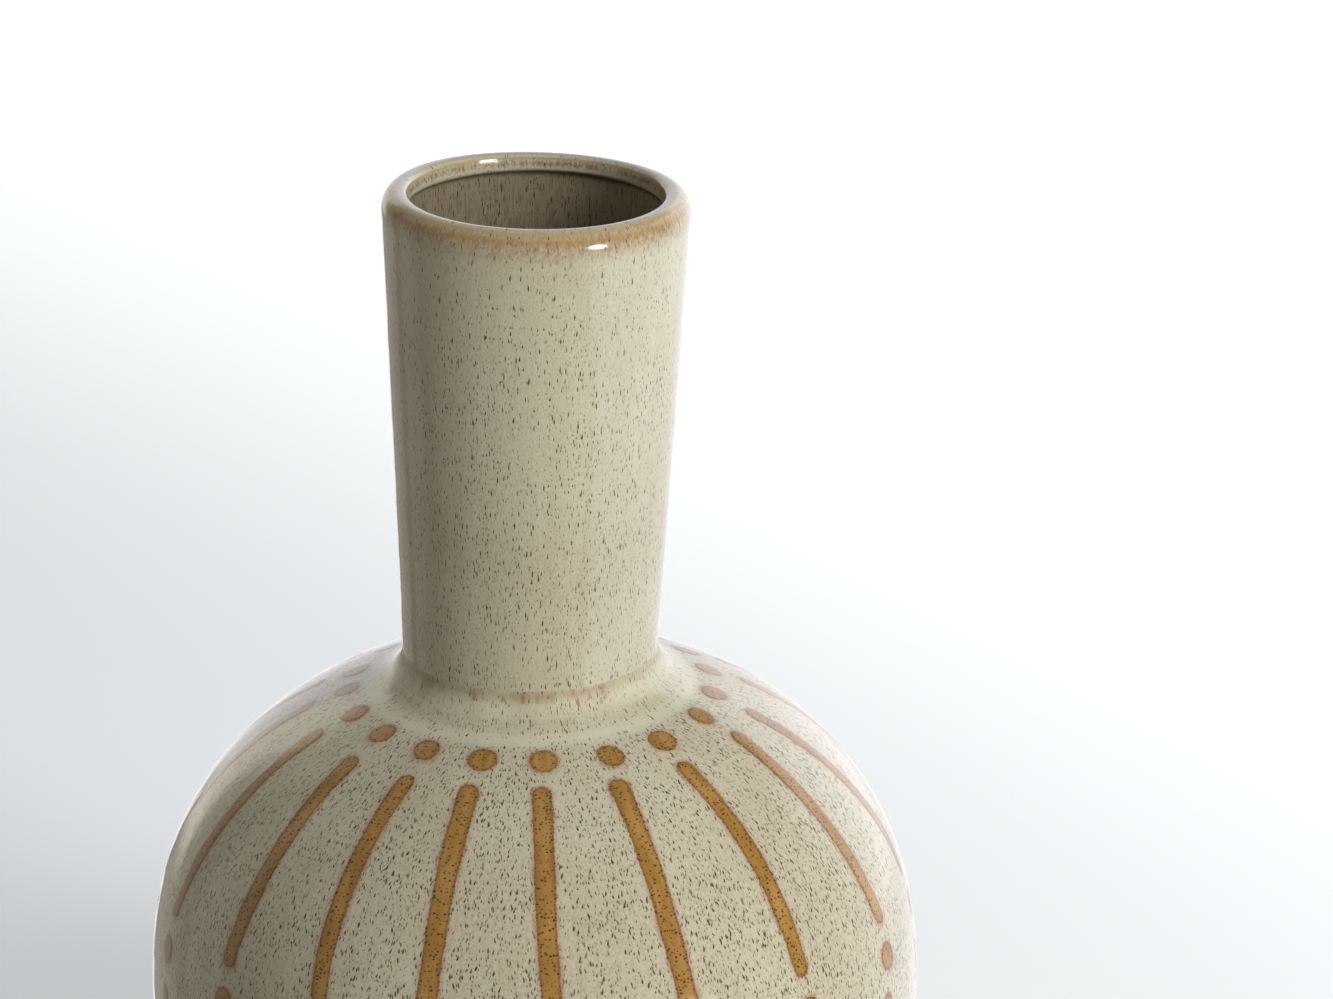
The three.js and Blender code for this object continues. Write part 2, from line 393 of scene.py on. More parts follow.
class Skin:
    """Coordinates on the pot's skin that every material uses."""

    def __init__(self, graph):
        g = self.graph = graph
        self.flow = g.attribute("flow", "Fac")
        self.cosine, self.sine, _ = g.split(g.attribute("around", "Vector"))

    def streaked(self, around, along):
        """A vector for noise that is drawn out down the pot: sizes in millimetres at the neck."""
        g = self.graph
        radius = RIM_RADIUS / around
        return g.vector(g.mul(self.cosine, radius), g.mul(self.sine, radius), g.div(self.flow, along))

    def swell(self, flow, function):
        """How the globe widens: the sine or cosine of the way from its pole to its underside."""
        g = self.graph
        arc = g.math("MAXIMUM", g.sub(flow, GLOBE_FLOW), 0.0)
        return g.math(function, g.mul(arc, math.pi / POLE_ARCS[-1]))

    def girth(self, flow):
        """The pot's radius at a flow, near enough to space specks evenly."""
        g = self.graph
        return g.math("MAXIMUM", g.mul(self.swell(flow, "SINE"), BELLY_RADIUS), NECK_FOOT_RADIUS)

    def slope(self, flow):
        """How fast the radius grows with flow."""
        g = self.graph
        on_globe = g.math("GREATER_THAN", g.mul(self.swell(flow, "SINE"), BELLY_RADIUS), NECK_FOOT_RADIUS)
        steepest = BELLY_RADIUS * math.pi / POLE_ARCS[-1]
        return g.mul(g.mul(self.swell(flow, "COSINE"), steepest), on_globe)

    def specks(self, across, along, half_width, half_length, chance, seed, ragged=0.0, tilt=0.0):
        """Drop-shaped specks scattered over the skin: how much they cover, and a random number for each.

        Each cell of a scatter, across by along millimetres, holds one speck with the given chance.
        Its head is at the lower end.
        """
        g = self.graph
        girth = self.girth(self.flow)
        here = g.vector(
            g.add(g.div(g.mul(self.cosine, girth), across), seed),
            g.div(g.mul(self.sine, girth), across),
            g.div(self.flow, along),
        )
        scatter = g.node("ShaderNodeTexVoronoi", voronoi_dimensions="3D", feature="F1")
        g.feed(scatter.inputs["Vector"], here)
        scatter.inputs["Scale"].default_value = 1.0
        size, chosen, draw = g.split(scatter.outputs["Color"])
        offset = g.node("ShaderNodeVectorMath", operation="SUBTRACT")
        g.feed(offset.inputs[0], here)
        g.feed(offset.inputs[1], scatter.outputs["Position"])
        dx, dy, dz = g.split(offset.outputs[0])

        # where this point is from the speck's middle, in millimetres
        down = g.add(g.mul(dz, along), ragged)
        out = g.mul(g.add(g.mul(dx, self.cosine), g.mul(dy, self.sine)), across)
        sideways = g.mul(g.sub(g.mul(dy, self.cosine), g.mul(dx, self.sine)), across)
        slant = g.sub(g.math("FRACT", g.mul(g.add(size, chosen), 7.0)), 0.5)
        sideways = g.add(g.add(sideways, ragged), g.mul(down, g.mul(slant, tilt)))

        # the same as shares of the speck's own size, which varies, and tapers towards its tail
        scale = g.add(g.mul(size, 0.8), 0.6)
        down_share = g.div(down, g.mul(scale, half_length))
        taper = g.smooth(down_share, -1.2, 0.7, 0.30, 1.15)
        side_share = g.div(sideways, g.mul(g.mul(scale, half_width), taper))
        depth = g.div(g.sub(out, g.mul(down, self.slope(self.flow))), 0.48 * across)
        squares = g.add(g.mul(side_share, side_share), g.mul(down_share, down_share))
        reach = g.math("SQRT", g.add(squares, g.mul(depth, depth)))
        tail = g.smooth(down_share, -1.1, 0.5, 0.25, 1.0)
        cover = g.mul(g.smooth(reach, 0.60, 1.30, 1.0, 0.0), tail)
        return g.mul(cover, g.math("LESS_THAN", draw, chance)), chosen


# painted shade: the crease's painted shadow is also darkest towards this side, where most rust runs
RUST_AND_SHADE_SIDE = -112  # azimuth where most rust has run from the seam


def base_tones(g, skin, on_globe, grain, runs):
    """The oatmeal glaze, with broad changes of tone, fine streaks and grain."""
    broad = g.smooth(g.noise(g.place(), 16.0, 3.0), 0.35, 0.65)
    veil = g.noise(skin.streaked(8.0, 55.0), 1.0, 3.0)
    neck_tone = g.mix(broad, (0.455, 0.420, 0.305), (0.510, 0.478, 0.358))
    globe_tone = g.mix(broad, (0.480, 0.438, 0.325), (0.530, 0.492, 0.375))
    colour = g.mix(on_globe, neck_tone, globe_tone)
    colour = g.tint(colour, g.smooth(veil, 0.45, 0.75), 0.30, (0.610, 0.610, 0.500))
    colour = g.tint(colour, g.smooth(runs, 0.28, 0.50, 1.0, 0.0), 0.22, (0.300, 0.245, 0.150))
    colour = g.tint(colour, g.smooth(grain, 0.32, 0.55, 1.0, 0.0), 0.42, (0.300, 0.240, 0.140))
    return g.tint(colour, g.smooth(grain, 0.50, 0.70), 0.25, (0.660, 0.640, 0.520))


def inside_tones(g, colour, flow, runs):
    """Inside the neck, below the lip, the glaze is thinner and browner, and darkened as painted shade
    that deepens further down the bore.
    """
    # painted shade: the browner inside glaze is also darkened to stand for the shade in the bore
    inside = g.smooth(flow, -8.0, -10.5)
    thin = g.mix(g.smooth(runs, 0.35, 0.60), (0.165, 0.120, 0.075), (0.235, 0.188, 0.124))
    # painted shade: darker still further down the bore
    thin = g.mix(g.smooth(flow, -16.0, -40.0, 0.0, 0.3), thin, (0.130, 0.080, 0.045))
    return g.tint(colour, inside, 0.85, thin)


def rim_tones(g, skin, colour, rim_flow, grain):
    """The rim, where the glaze breaks thin and ochre over its edges and mottles below them, with a
    painted reflection on its crest and a painted shadow under the lip.
    """
    flow = skin.flow
    fleck = g.smooth(grain, 0.35, 0.62, 1.0, 0.45)
    mottle = g.noise(skin.streaked(1.1, 2.0), 1.0, 3.0, 0.65)
    # painted reflection: a lavender grey over the crest stands for the light mirrored in its glossy top
    colour = g.tint(colour, g.ridge(rim_flow, -0.4, 3.0), 0.75, (0.430, 0.400, 0.380))
    blush = g.mul(g.smooth(rim_flow, 5.5, 14.5, 1.0, 0.0), g.smooth(rim_flow, 1.8, 3.0))
    colour = g.tint(colour, g.mul(blush, fleck), 0.92, (0.350, 0.225, 0.125))
    colour = g.tint(colour, g.ridge(rim_flow, 2.6, 1.6), 0.85, (0.420, 0.310, 0.145))
    colour = g.tint(colour, g.ridge(rim_flow, 5.6, 2.0), 0.90, (0.360, 0.235, 0.095))
    cloudy = g.mul(g.ridge(rim_flow, 6.5, 7.0), g.smooth(mottle, 0.48, 0.66))
    colour = g.tint(colour, cloudy, 0.55, (0.225, 0.125, 0.070))
    bare_spots = g.mul(g.ridge(rim_flow, 8.5, 7.0), g.smooth(mottle, 0.46, 0.32))
    colour = g.tint(colour, bare_spots, 0.42, (0.500, 0.450, 0.320))
    drips, _ = skin.specks(1.5, 5.0, 0.19, 1.1, 0.50, 57.0)
    below_rim = g.mul(g.smooth(flow, 5.0, 8.0), g.smooth(flow, 12.0, 26.0, 1.0, 0.0))
    colour = g.tint(colour, g.mul(drips, below_rim), 0.7, (0.190, 0.085, 0.042))

    # over the mouth's edge: an ochre line, a speckled band, and a painted shadow in the step under the
    # lip
    colour = g.tint(colour, g.ridge(rim_flow, -3.2, 0.9), 0.85, (0.400, 0.300, 0.140))
    speckle = g.mul(g.add(g.smooth(mottle, 0.42, 0.60), 0.35), 0.8)
    colour = g.mix(g.mul(g.ridge(rim_flow, -4.8, 2.0), speckle), colour, (0.255, 0.175, 0.120))
    return g.tint(colour, g.ridge(rim_flow, -9.0, 2.0), 0.90, (0.090, 0.060, 0.035))


def seam_tones(g, skin, colour, ragged):
    """Rust runs and a brown crease at the seam, the crease partly painted shadow, and milky glaze pooled
    below it, partly painted sheen on its lit side: (colour, pool).
    """
    flow = skin.flow
    rust, _ = skin.specks(2.2, 9.0, 0.6, 2.8, 0.75, 41.0)
    patches = g.smooth(g.noise(skin.streaked(16.0, 900.0), 1.0, 1.0), 0.38, 0.62, 0.25, 1.0)
    toward_rust_and_shade = [float(part) for part in towards(RUST_AND_SHADE_SIDE, 0)]
    facing = g.add(g.mul(skin.cosine, toward_rust_and_shade[0]), g.mul(skin.sine, toward_rust_and_shade[1]))
    uneven = g.mul(patches, g.smooth(facing, 0.1, 0.9, 0.12, 1.0))
    seam_rust = g.mul(g.mul(rust, g.ridge(flow, COIL_FLOW + 2.5, 6.5)), uneven)
    colour = g.mix(seam_rust, colour, (0.250, 0.105, 0.030))
    # painted shade: the brown crease is partly iron and partly a painted shadow, darkest on the shaded
    # front left
    crease = g.mul(g.ridge(flow, COIL_FLOW + 0.6, 3.4), g.add(g.mul(uneven, 0.7), 0.3))
    colour = g.tint(colour, crease, 0.7, (0.280, 0.185, 0.090))
    pool = g.ridge(g.add(flow, g.mul(ragged, 1.5)), COIL_FLOW + 15.0, 5.0)
    colour = g.tint(colour, pool, 0.6, (0.620, 0.630, 0.500))
    # partly painted sheen: the pale milk under the crease is milky glaze brightened on the lit side,
    # faded where the crease is shaded
    milk_and_sheen = g.mul(g.ridge(flow, COIL_FLOW + 4.0, 6.0), g.smooth(uneven, 0.3, 0.9, 0.42, 0.0))
    return g.mix(milk_and_sheen, colour, (0.620, 0.620, 0.490)), pool


def glaze_tones(g, skin):
    """The glaze without its specks, the milky pool below the neck, and where the globe begins."""
    on_globe = g.smooth(skin.flow, COIL_FLOW + 8, COIL_FLOW + 15)
    runs = g.noise(skin.streaked(0.7, 6.0), 1.0, 3.0, 0.6)
    grain = g.noise(skin.streaked(0.35, 1.1), 1.0, 3.0, 0.7)
    ragged = g.mul(g.sub(g.noise(skin.streaked(4.0, 4.0), 1.0, 2.0), 0.5), 0.9)
    colour = base_tones(g, skin, on_globe, grain, runs)
    colour = inside_tones(g, colour, skin.flow, runs)
    colour = rim_tones(g, skin, colour, g.add(skin.flow, ragged), grain)
    colour, pool = seam_tones(g, skin, colour, ragged)
    return colour, pool, on_globe


def glaze_graph(g, skin):
    """The pale speckled glaze. Returns its colour, and how much dark speck is on it."""
    colour, pool, on_globe = glaze_tones(g, skin)
    inside = g.smooth(skin.flow, -8.0, -12.0)

    # how many specks: few at the rim and in the pool, more in clusters, on the globe and inside
    shown = g.sub(1.0, g.mul(pool, 0.8))
    from_rim = g.math("ABSOLUTE", g.sub(skin.flow, 2.0))
    shown = g.mul(shown, g.smooth(from_rim, 3.0, 60.0, 0.30, 1.0))
    shown = g.math("MAXIMUM", shown, g.mul(inside, 0.95))
    cluster = g.smooth(g.noise(g.place(), 60.0, 2.0), 0.30, 0.66)
    often = g.mul(g.add(g.mul(cluster, 0.50), g.add(g.mul(on_globe, 0.20), 0.38)), shown)

    # their shape, which is thinner and more upright on the neck
    ragged = g.mul(g.sub(g.noise(g.place(), 1500.0, 1.0), 0.5), 0.24)
    off_globe = g.sub(1.0, on_globe)
    length = g.add(g.add(g.mul(off_globe, 0.15), 1.00), g.mul(inside, 0.5))
    width = g.add(g.mul(on_globe, 0.085), 0.170)
    tilt = g.add(g.mul(on_globe, 0.45), 0.15)
    layers = (
        (1.7, 3.2, width, length, often, 3.0),
        (1.35, 2.6, g.mul(width, 0.9), g.mul(length, 0.8), g.mul(often, 0.65), 111.0),
        (1.1, 1.9, 0.15, 0.5, g.mul(often, 0.6), 223.0),
    )

    # each is iron black to brown in the middle, with a rusty fringe, and some are faint
    faintest = g.add(g.mul(on_globe, 0.35), 0.30)
    strongest = g.add(g.mul(on_globe, 0.03), 0.87)
    dark = 0.0
    for layer in layers:
        cover, chosen = skin.specks(*layer, ragged, tilt)
        strength = g.smooth(chosen, 0.15, 0.95, strongest, faintest)
        iron = g.mix(g.smooth(chosen, 0.45, 0.95), (0.020, 0.012, 0.006), (0.140, 0.072, 0.030))
        core = g.mul(g.smooth(cover, 0.20, 0.75), strength)
        colour = g.tint(colour, g.mul(cover, strength), 0.5, (0.200, 0.125, 0.060))
        colour = g.mix(core, colour, iron)
        dark = g.math("MAXIMUM", dark, core)
    return colour, dark


def principled(g, colour, roughness, height, depth):
    """Ends a material's graph with one glossy shader, whose bumps are depth metres deep."""
    shader = g.node("ShaderNodeBsdfPrincipled")
    g.feed(shader.inputs["Base Color"], colour)
    g.feed(shader.inputs["Roughness"], roughness)
    shader.inputs["IOR"].default_value = GLAZE_IOR
    bump = g.node("ShaderNodeBump")
    bump.inputs["Strength"].default_value = 1.0
    bump.inputs["Distance"].default_value = depth
    g.feed(bump.inputs["Height"], height)
    g.feed(shader.inputs["Normal"], bump.outputs[0])
    output = g.node("ShaderNodeOutputMaterial")
    g.feed(output.inputs[0], shader.outputs[0])


def new_material(name):
    """An empty material and its graph."""
    material = bpy.data.materials.new(name)
    material.use_nodes = True
    material.node_tree.nodes.clear()
    return material, Graph(material.node_tree)


def glaze_height(g, dark):
    """Slow ripples in the glaze and a shallow pit at each speck."""
    return g.sub(g.noise(g.place(), 160.0, 2.0), g.mul(dark, 0.15))


def glaze_material():
    """The speckled glaze, matt in the milky seam, and bare clay under the foot."""
    material, g = new_material("speckled_glaze")
    skin = Skin(g)
    colour, dark = glaze_graph(g, skin)
    bare = g.smooth(skin.flow, GLOBE_FLOW + FOOT_ARC - 1.5, GLOBE_FLOW + FOOT_ARC + 0.5)
    grit = g.smooth(g.noise(g.place(), 700.0, 4.0, 0.7), 0.35, 0.65)
    colour = g.mix(bare, colour, g.mix(grit, (0.300, 0.190, 0.110), (0.430, 0.310, 0.200)))
    gloss = g.smooth(g.noise(g.place(), 90.0, 2.0), 0.3, 0.7, 0.07, 0.13)
    milky = g.mul(g.ridge(skin.flow, COIL_FLOW + 3.0, 9.0), 0.50)
    roughness = g.math("MAXIMUM", g.math("MAXIMUM", gloss, milky), g.mul(bare, 0.8))
    principled(g, colour, roughness, glaze_height(g, dark), 0.00012)
    return material


def ochre_material():
    """Ochre slip under the glaze. "edge" is the distance inside the mark's edge, in millimetres."""
    material, g = new_material("ochre_slip")
    skin = Skin(g)
    glaze_colour, dark = glaze_graph(g, skin)
    drawn_edge = g.attribute("edge", "Fac")
    edge = g.add(drawn_edge, g.sub(g.noise(g.place(), 800.0, 3.0, 0.6), 0.5))

    # outside the edge, a patchy blush on the glaze; inside it, honey that darkens to its edge
    halo = g.math("POWER", g.smooth(edge, -2.2, 0.1), 1.6)
    patchy = g.smooth(g.noise(g.place(), 110.0, 2.0), 0.35, 0.62, 0.25, 0.85)
    colour = g.mix(g.mul(halo, patchy), glaze_colour, (0.360, 0.215, 0.140))
    tone = g.smooth(g.noise(skin.streaked(2.2, 18.0), 1.0, 3.0), 0.35, 0.65)
    honey = g.mix(tone, (0.305, 0.152, 0.029), (0.390, 0.215, 0.056))
    honey = g.tint(honey, g.smooth(edge, 1.5, -0.1), 0.8, (0.200, 0.078, 0.022))
    inside = g.smooth(edge, -0.25, 0.22)
    colour = g.mix(inside, colour, honey)

    # round iron specks in the slip, and a broken chain of them along its edge
    pins, _ = skin.specks(1.15, 1.15, 0.37, 0.37, 0.72, 357.0)
    colour = g.mix(g.mul(pins, inside), colour, (0.020, 0.009, 0.006))
    beads, _ = skin.specks(0.95, 1.1, 0.36, 0.40, 0.55, 471.0)
    border = g.ridge(drawn_edge, 0.0, 0.8)
    colour = g.tint(colour, g.mul(beads, border), 0.9, (0.045, 0.022, 0.028))
    principled(g, colour, 0.10, glaze_height(g, dark), 0.00010)
    return material


glaze = glaze_material()
ochre = ochre_material()


# ---------------------------------------------------------------- the pot
CENTRE = 1.0  # the outline stops this far from the axis, where a flat face closes it


def foot_ring(edge):
    """The underside: out from its middle and round the foot ring, up to the globe's lower edge."""
    inner = FOOT_RADIUS - FOOT_WIDTH
    ring = rounded([
        (CENTRE, FOOT_RECESS),
        (inner - 2, FOOT_RECESS),
        (inner + 0.5, 0.0),
        (FOOT_RADIUS - 0.6, 0.0),
        (FOOT_RADIUS + 0.2, 2.5),
        (edge[0] - 0.2, edge[1] - 0.6),
        tuple(edge),
    ], 1.6)[:-1]
    return resample(ring, 1.6)[:-1]


def globe_throat(shoulder):
    """The bend up from the shoulder, then the throat's flat top and the start of the bore."""
    radius = NECK_FOOT_RADIUS - THROAT_INSET
    lean_to = (radius + 1.5, shoulder[1] + 2.7)
    rise = bend(shoulder, lean_to, (radius, THROAT_TOP), 10)[1:]
    bore_end = (BORE_RADIUS, SEAM - THROAT_DEPTH)
    top = rounded([(radius, THROAT_TOP), (BORE_RADIUS, THROAT_TOP), bore_end], 0.8)[1:]
    return rise, top


def globe_inside():
    """The hollow, from the end of the bore down to the middle of the floor, which swells a little."""
    widest = BELLY_RADIUS - WALL
    first = math.asin((INSIDE_TOP_RADIUS / widest) ** (ROUNDNESS / 2))
    last = math.pi - math.asin((INSIDE_BOTTOM_RADIUS / widest) ** (ROUNDNESS / 2))
    wall = globe_outline(np.linspace(first, last, 60), WALL)
    bore_end = (BORE_RADIUS, SEAM - THROAT_DEPTH)
    under_shoulder = bend(bore_end, (BORE_RADIUS + 0.5, SHOULDER_INSIDE), wall[0], 8)[1:-1]
    to_floor = bend(wall[-1], (49, FLOOR_HEIGHT), (40, FLOOR_HEIGHT), 6)[1:]
    floor = [(20, FLOOR_HEIGHT + 0.4), (6, FLOOR_HEIGHT + 1.2), (CENTRE, FLOOR_HEIGHT + 1.3)]
    return np.concatenate([under_shoulder, wall, to_floor, floor])


def make_globe():
    """The globe, from the middle of its underside up the outside, and down the inside to the floor."""
    arcs = np.linspace(FOOT_ARC, arc_at_radius(SHOULDER_START), 205)
    outer = np.stack(globe_at(arcs)[:2], -1)
    outer_flow = GLOBE_FLOW + arcs
    foot = foot_ring(outer[0])
    foot_flow = outer_flow[0] + lengths(foot[::-1])[::-1] + 1.5
    rise, top = globe_throat(outer[-1])
    rise_flow = np.full(len(rise), outer_flow[-1])
    inside = np.concatenate([top, globe_inside()])
    profile = np.concatenate([foot, outer, rise, inside])
    flow = np.concatenate([foot_flow, outer_flow, rise_flow, -(COIL_FLOW + lengths(inside))])

    # The foot is turned true and the throat fits the neck, so the potter's hand fades out there.
    fade = np.linspace(0, 1, 8)
    ease = np.concatenate([
        np.zeros(len(foot)), fade, np.ones(len(outer) - len(fade)),
        np.zeros(len(rise) + len(top)), np.ones(len(inside) - len(top)),
    ])
    piece = revolve("globe_pot", profile, flow, glaze, closed=False, ease=ease)
    finish_piece(piece, "speckled_glaze", "globe")


def mouth_rounding():
    """The inside of the rim, from just past the crest to the edge of the mouth."""
    width = RIM_RADIUS - RIM_ROUNDING - MOUTH_RADIUS
    quarter = np.linspace(0, math.pi / 2, 7)[1:]
    radius = MOUTH_RADIUS + width * (1 - np.sin(quarter))
    return np.stack([radius, RIM_HEIGHT - MOUTH_DROP * (1 - np.cos(quarter))], -1)


def neck_inside(mouth_edge):
    """The lip that leans in under the mouth, the step behind it and the wall down to the seam."""
    wall_top = RIM_HEIGHT - LIP_HEIGHT - LIP_STEP
    wall_radius = MOUTH_RADIUS + LIP_STEP
    heights = np.linspace(wall_top - 9, SEAM - NECK_OVERLAP, 60)
    share = (wall_top - heights) / (wall_top - SEAM)
    wall = np.stack([wall_radius + (BORE_RADIUS - wall_radius) * share, heights], -1)
    lip = rounded([
        tuple(mouth_edge),
        (MOUTH_RADIUS - LIP_SLOPE, RIM_HEIGHT - LIP_HEIGHT),
        (wall_radius, wall_top),
        (wall_radius - 0.4, wall_top - 8),
        (BORE_RADIUS, SEAM),
    ], 1.0)[1:-1]
    above_wall = lip[lip[:, 1] > heights[0] + 0.5]
    return np.concatenate([above_wall, wall])


def make_neck():
    """The neck, from the seam up to the rim and back down the inside."""
    shoulder = RIM_HEIGHT - RIM_DROP
    heights = np.linspace(SEAM - NECK_OVERLAP, shoulder, 128)[:-1]
    radii = np.interp(heights, (SEAM, shoulder), (NECK_FOOT_RADIUS, RIM_RADIUS))
    outer = np.concatenate([np.stack([radii, heights], -1), rim_rounding(18)])
    mouth = mouth_rounding()
    profile = np.concatenate([outer, mouth, neck_inside(mouth[-1])])
    along = lengths(profile)
    piece = revolve("neck_tube", profile, along[len(outer) - 1] - along, glaze, after=lean)
    finish_piece(piece, "speckled_glaze", "neck")


# The coil's edge runs on under the shoulder's glaze: how far beyond the edge, and how high above it.
COIL_SKIRT = ((4.0, -1.60), (4.0, -0.60), (3.0, -0.10), (2.0, -0.045), (1.0, -0.015))


def make_coil():
    """The fillet of clay round the neck's foot. It leaves the shoulder along the shoulder's own slope."""
    edge_arc = arc_at_radius(COIL_SPREAD)
    radius, height, out_r, out_z = globe_at(edge_arc)
    face = NECK_FOOT_RADIUS - 0.1
    buried = face - 0.8
    top = SEAM + COIL_RISE
    run = radius - face - 0.9
    lean_to = (radius - run, height + run * out_r / out_z)
    fillet = bend((radius, height), lean_to, (face + 0.32, top), 36)
    skirt = []
    for beyond, lift in COIL_SKIRT:
        at_radius, at_height, at_r, at_z = globe_at(edge_arc + beyond)
        skirt.append((at_radius + at_r * lift, at_height + at_z * lift))
    crown = rounded([
        tuple(fillet[-1]), (face + 0.2, top + 1.6), (buried, top + 2.4), (buried, SEAM - 2),
    ], 1.2)[1:]
    under = bend((buried, SEAM - 3), (face + 1.2, height + 1.5), (radius - 2.5, height - 0.2), 8)
    profile = np.concatenate([skirt, fillet, crown, under])

    # Flow meets the globe's at the edge and the neck's at the seam.
    from_edge = lengths(profile)
    from_edge = from_edge - from_edge[len(skirt)]
    fillet_length = from_edge[len(skirt) + len(fillet) - 1]
    rate = np.where(from_edge > 0, COIL_LENGTH / fillet_length, 1.0)
    piece = revolve("luting_fillet", profile, COIL_FLOW + COIL_LENGTH - from_edge * rate, glaze)
    finish_piece(piece, "speckled_glaze", "luting_coil")


# ---------------------------------------------------------------- brush marks
# A mark is rings of points, each (how far inside its edge, how high above the glaze). Beyond its edge
# it thins into a skirt that carries the halo and dips under the glaze.
MARK_RINGS = (
    (1.9, 0.13), (1.2, 0.125), (0.7, 0.115), (0.35, 0.10), (0.1, 0.08), (-0.15, 0.06), (-0.45, 0.045),
    (-0.9, 0.030), (-1.6, 0.018), (-2.3, 0.010), (-2.8, -0.005), (-3.3, -0.04), (-3.6, -0.30),
)
CROWN_LIFT = 0.13  # height of a mark's middle above the glaze
SUNK_LIFT = -0.30  # height of its underside
HALO_DROOP = 0.8  # how much further the halo runs below a mark than beside it
CAP_STEPS = 14  # round each end
STROKE_STEP = 1.1  # along each side


def skin_point(arc, turn, lift):
    """Points over the globe's glaze, with the potter's hand in it."""
    radius, height, out_r, out_z = globe_at(arc)
    off = hand(turn, GLOBE_FLOW + arc) + lift
    radius = radius + out_r * off
    return np.stack([radius * np.cos(turn), radius * np.sin(turn), height + out_z * off], -1)


def cap(first, count):
    """Outward directions, as (down, sideways), of points round a mark's end from an angle."""
    angle = first + math.pi * np.arange(count) / CAP_STEPS
    return np.stack([-np.cos(angle), np.sin(angle)], -1)


def mark_outline(start, end, half_width):
    """The way round a mark: points on its spine, and outward directions as (down, sideways)."""
    top, bottom = start + half_width, end - half_width
    if bottom - top < STROKE_STEP:
        outward = cap(-math.pi / 2, 2 * CAP_STEPS)
        return np.full(len(outward), (start + end) / 2), outward
    down = np.linspace(top, bottom, int((bottom - top) / STROKE_STEP) + 1)[1:-1]
    side = np.tile([0.0, 1.0], (len(down), 1))
    upper, lower = cap(-math.pi / 2, CAP_STEPS + 1), cap(math.pi / 2, CAP_STEPS + 1)
    spine = np.concatenate([np.full(len(upper), top), down, np.full(len(lower), bottom), down[::-1]])
    return spine, np.concatenate([upper, side, lower, -side])


def uneven_edge(spine, down, sideways, random):
    """How much wider or narrower than drawn a mark is at each point of its edge."""
    slow, quick, round_ends, _ = random.uniform(0, 2 * math.pi, 4)
    swell = 1 + 0.045 * np.sin(spine / 9 + slow + sideways)
    swell += 0.03 * np.sin(spine / 3.7 + quick)
    swell += 0.03 * np.cos(2 * np.arctan2(sideways, down) + round_ends)
    return swell


def ring_faces(count, rings):
    """Faces that join each ring of count points to the next."""
    faces = []
    for row in range(0, count * (rings - 1), count):
        for k in range(count):
            right = (k + 1) % count
            faces.append((row + k, row + count + k, row + count + right, row + right))
    return faces


def brush_mark(name, start, end, turn, half_width, random, nodes=(), slant=0.0, bow=0.0):
    """A rounded mark on the globe from start to end, as distances from the pole.

    Going down, the mark drifts by slant degrees and bows to one side by bow degrees.
    """
    spine, outward = mark_outline(start, end, half_width)
    down, sideways = outward[:, 0], outward[:, 1]
    swell = uneven_edge(spine, down, sideways, random)
    droop = 1 + HALO_DROOP * np.clip(down, 0, 1)
    rings = [(half_width, CROWN_LIFT)]
    rings += [ring for ring in MARK_RINGS if ring[0] < half_width]
    rings += [(half_width, SUNK_LIFT)]
    arcs, turns, lifts, edges = [], [], [], []
    for inset, lift in rings:
        reach = (half_width - max(inset, 0.0)) * swell - min(inset, 0.0) * droop
        arc = spine + down * reach
        share = 2 * (arc - start) / (end - start) - 1
        drift = slant * share / 2 + bow * (1 / 3 - share**2)
        arcs.append(arc)
        turns.append(turn + np.radians(drift) + sideways * reach / globe_at(arc)[0])
        lifts.append(np.full(len(arc), lift))
        edges.append(np.full(len(arc), inset))
    arcs, turns, lifts, edges = (np.concatenate(part) for part in (arcs, turns, lifts, edges))
    attributes = {"flow": GLOBE_FLOW + arcs, "around": compass(turns), "edge": edges}
    faces = ring_faces(len(spine), len(rings))
    piece = new_object(name, skin_point(arcs, turns, lifts), faces, attributes, ochre)
    weld(piece)
    finish_piece(piece, "ochre_slip", *nodes)


def weld(piece):
    """Joins the points that meet along a mark's spine, so the mark is closed."""
    mesh = bmesh.new()
    mesh.from_mesh(piece.data)
    bmesh.ops.remove_doubles(mesh, verts=mesh.verts, dist=1e-6)
    bmesh.ops.recalc_face_normals(mesh, faces=mesh.faces)
    mesh.to_mesh(piece.data)
    mesh.free()


def node_turn(node):
    """The turn about Z at which a CAD node lies, in radians."""
    low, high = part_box(node)
    return math.atan2(low.y + high.y, low.x + high.x)


# How the marks on the front shoulder wander from their even spacing, in degrees, by stroke number.
FRONT_STROKES = {  # (shift, slant, bow, half width)
    18: (-0.4, -0.8, -0.9, 3.1),
    19: (-0.6, -0.6, 0.2, 3.4),
    1: (-0.5, 0.2, -0.4, 3.1),
    2: (0.4, 1.3, -0.6, 3.1),
    3: (1.1, 2.0, 0.4, 3.1),
    4: (1.6, 0.8, -1.2, 3.0),
    5: (0.3, 4.0, 0.3, 3.0),
}
FRONT_DABS = {  # (shift in degrees, drop in millimetres)
    19: (0.5, 0.6),
    1: (0.9, 0.7),
    2: (2.2, 1.6),
    3: (0.8, 1.2),
    4: (1.2, 0.2),
}


def make_dab(name, arc, turn, random, *nodes):
    """A round mark, whose middle is arc from the pole."""
    brush_mark(name, arc - DOT_RADIUS, arc + DOT_RADIUS, turn, DOT_RADIUS, random, nodes)


def make_stroke(name, arcs, turn, wander, random, *nodes):
    """A long mark between two distances from the pole. wander is (shift, slant, bow, half width)."""
    shift, slant, bow, half_width = wander
    turn += math.radians(shift)
    brush_mark(name, *arcs, turn, half_width, random, nodes, slant, bow)


def any_wander(random):
    """A small shift, slant and bow, and a half width."""
    return (*random.uniform(-1.0, 1.0, 3), STRIPE_HALF_WIDTH + random.uniform(-0.1, 0.3))


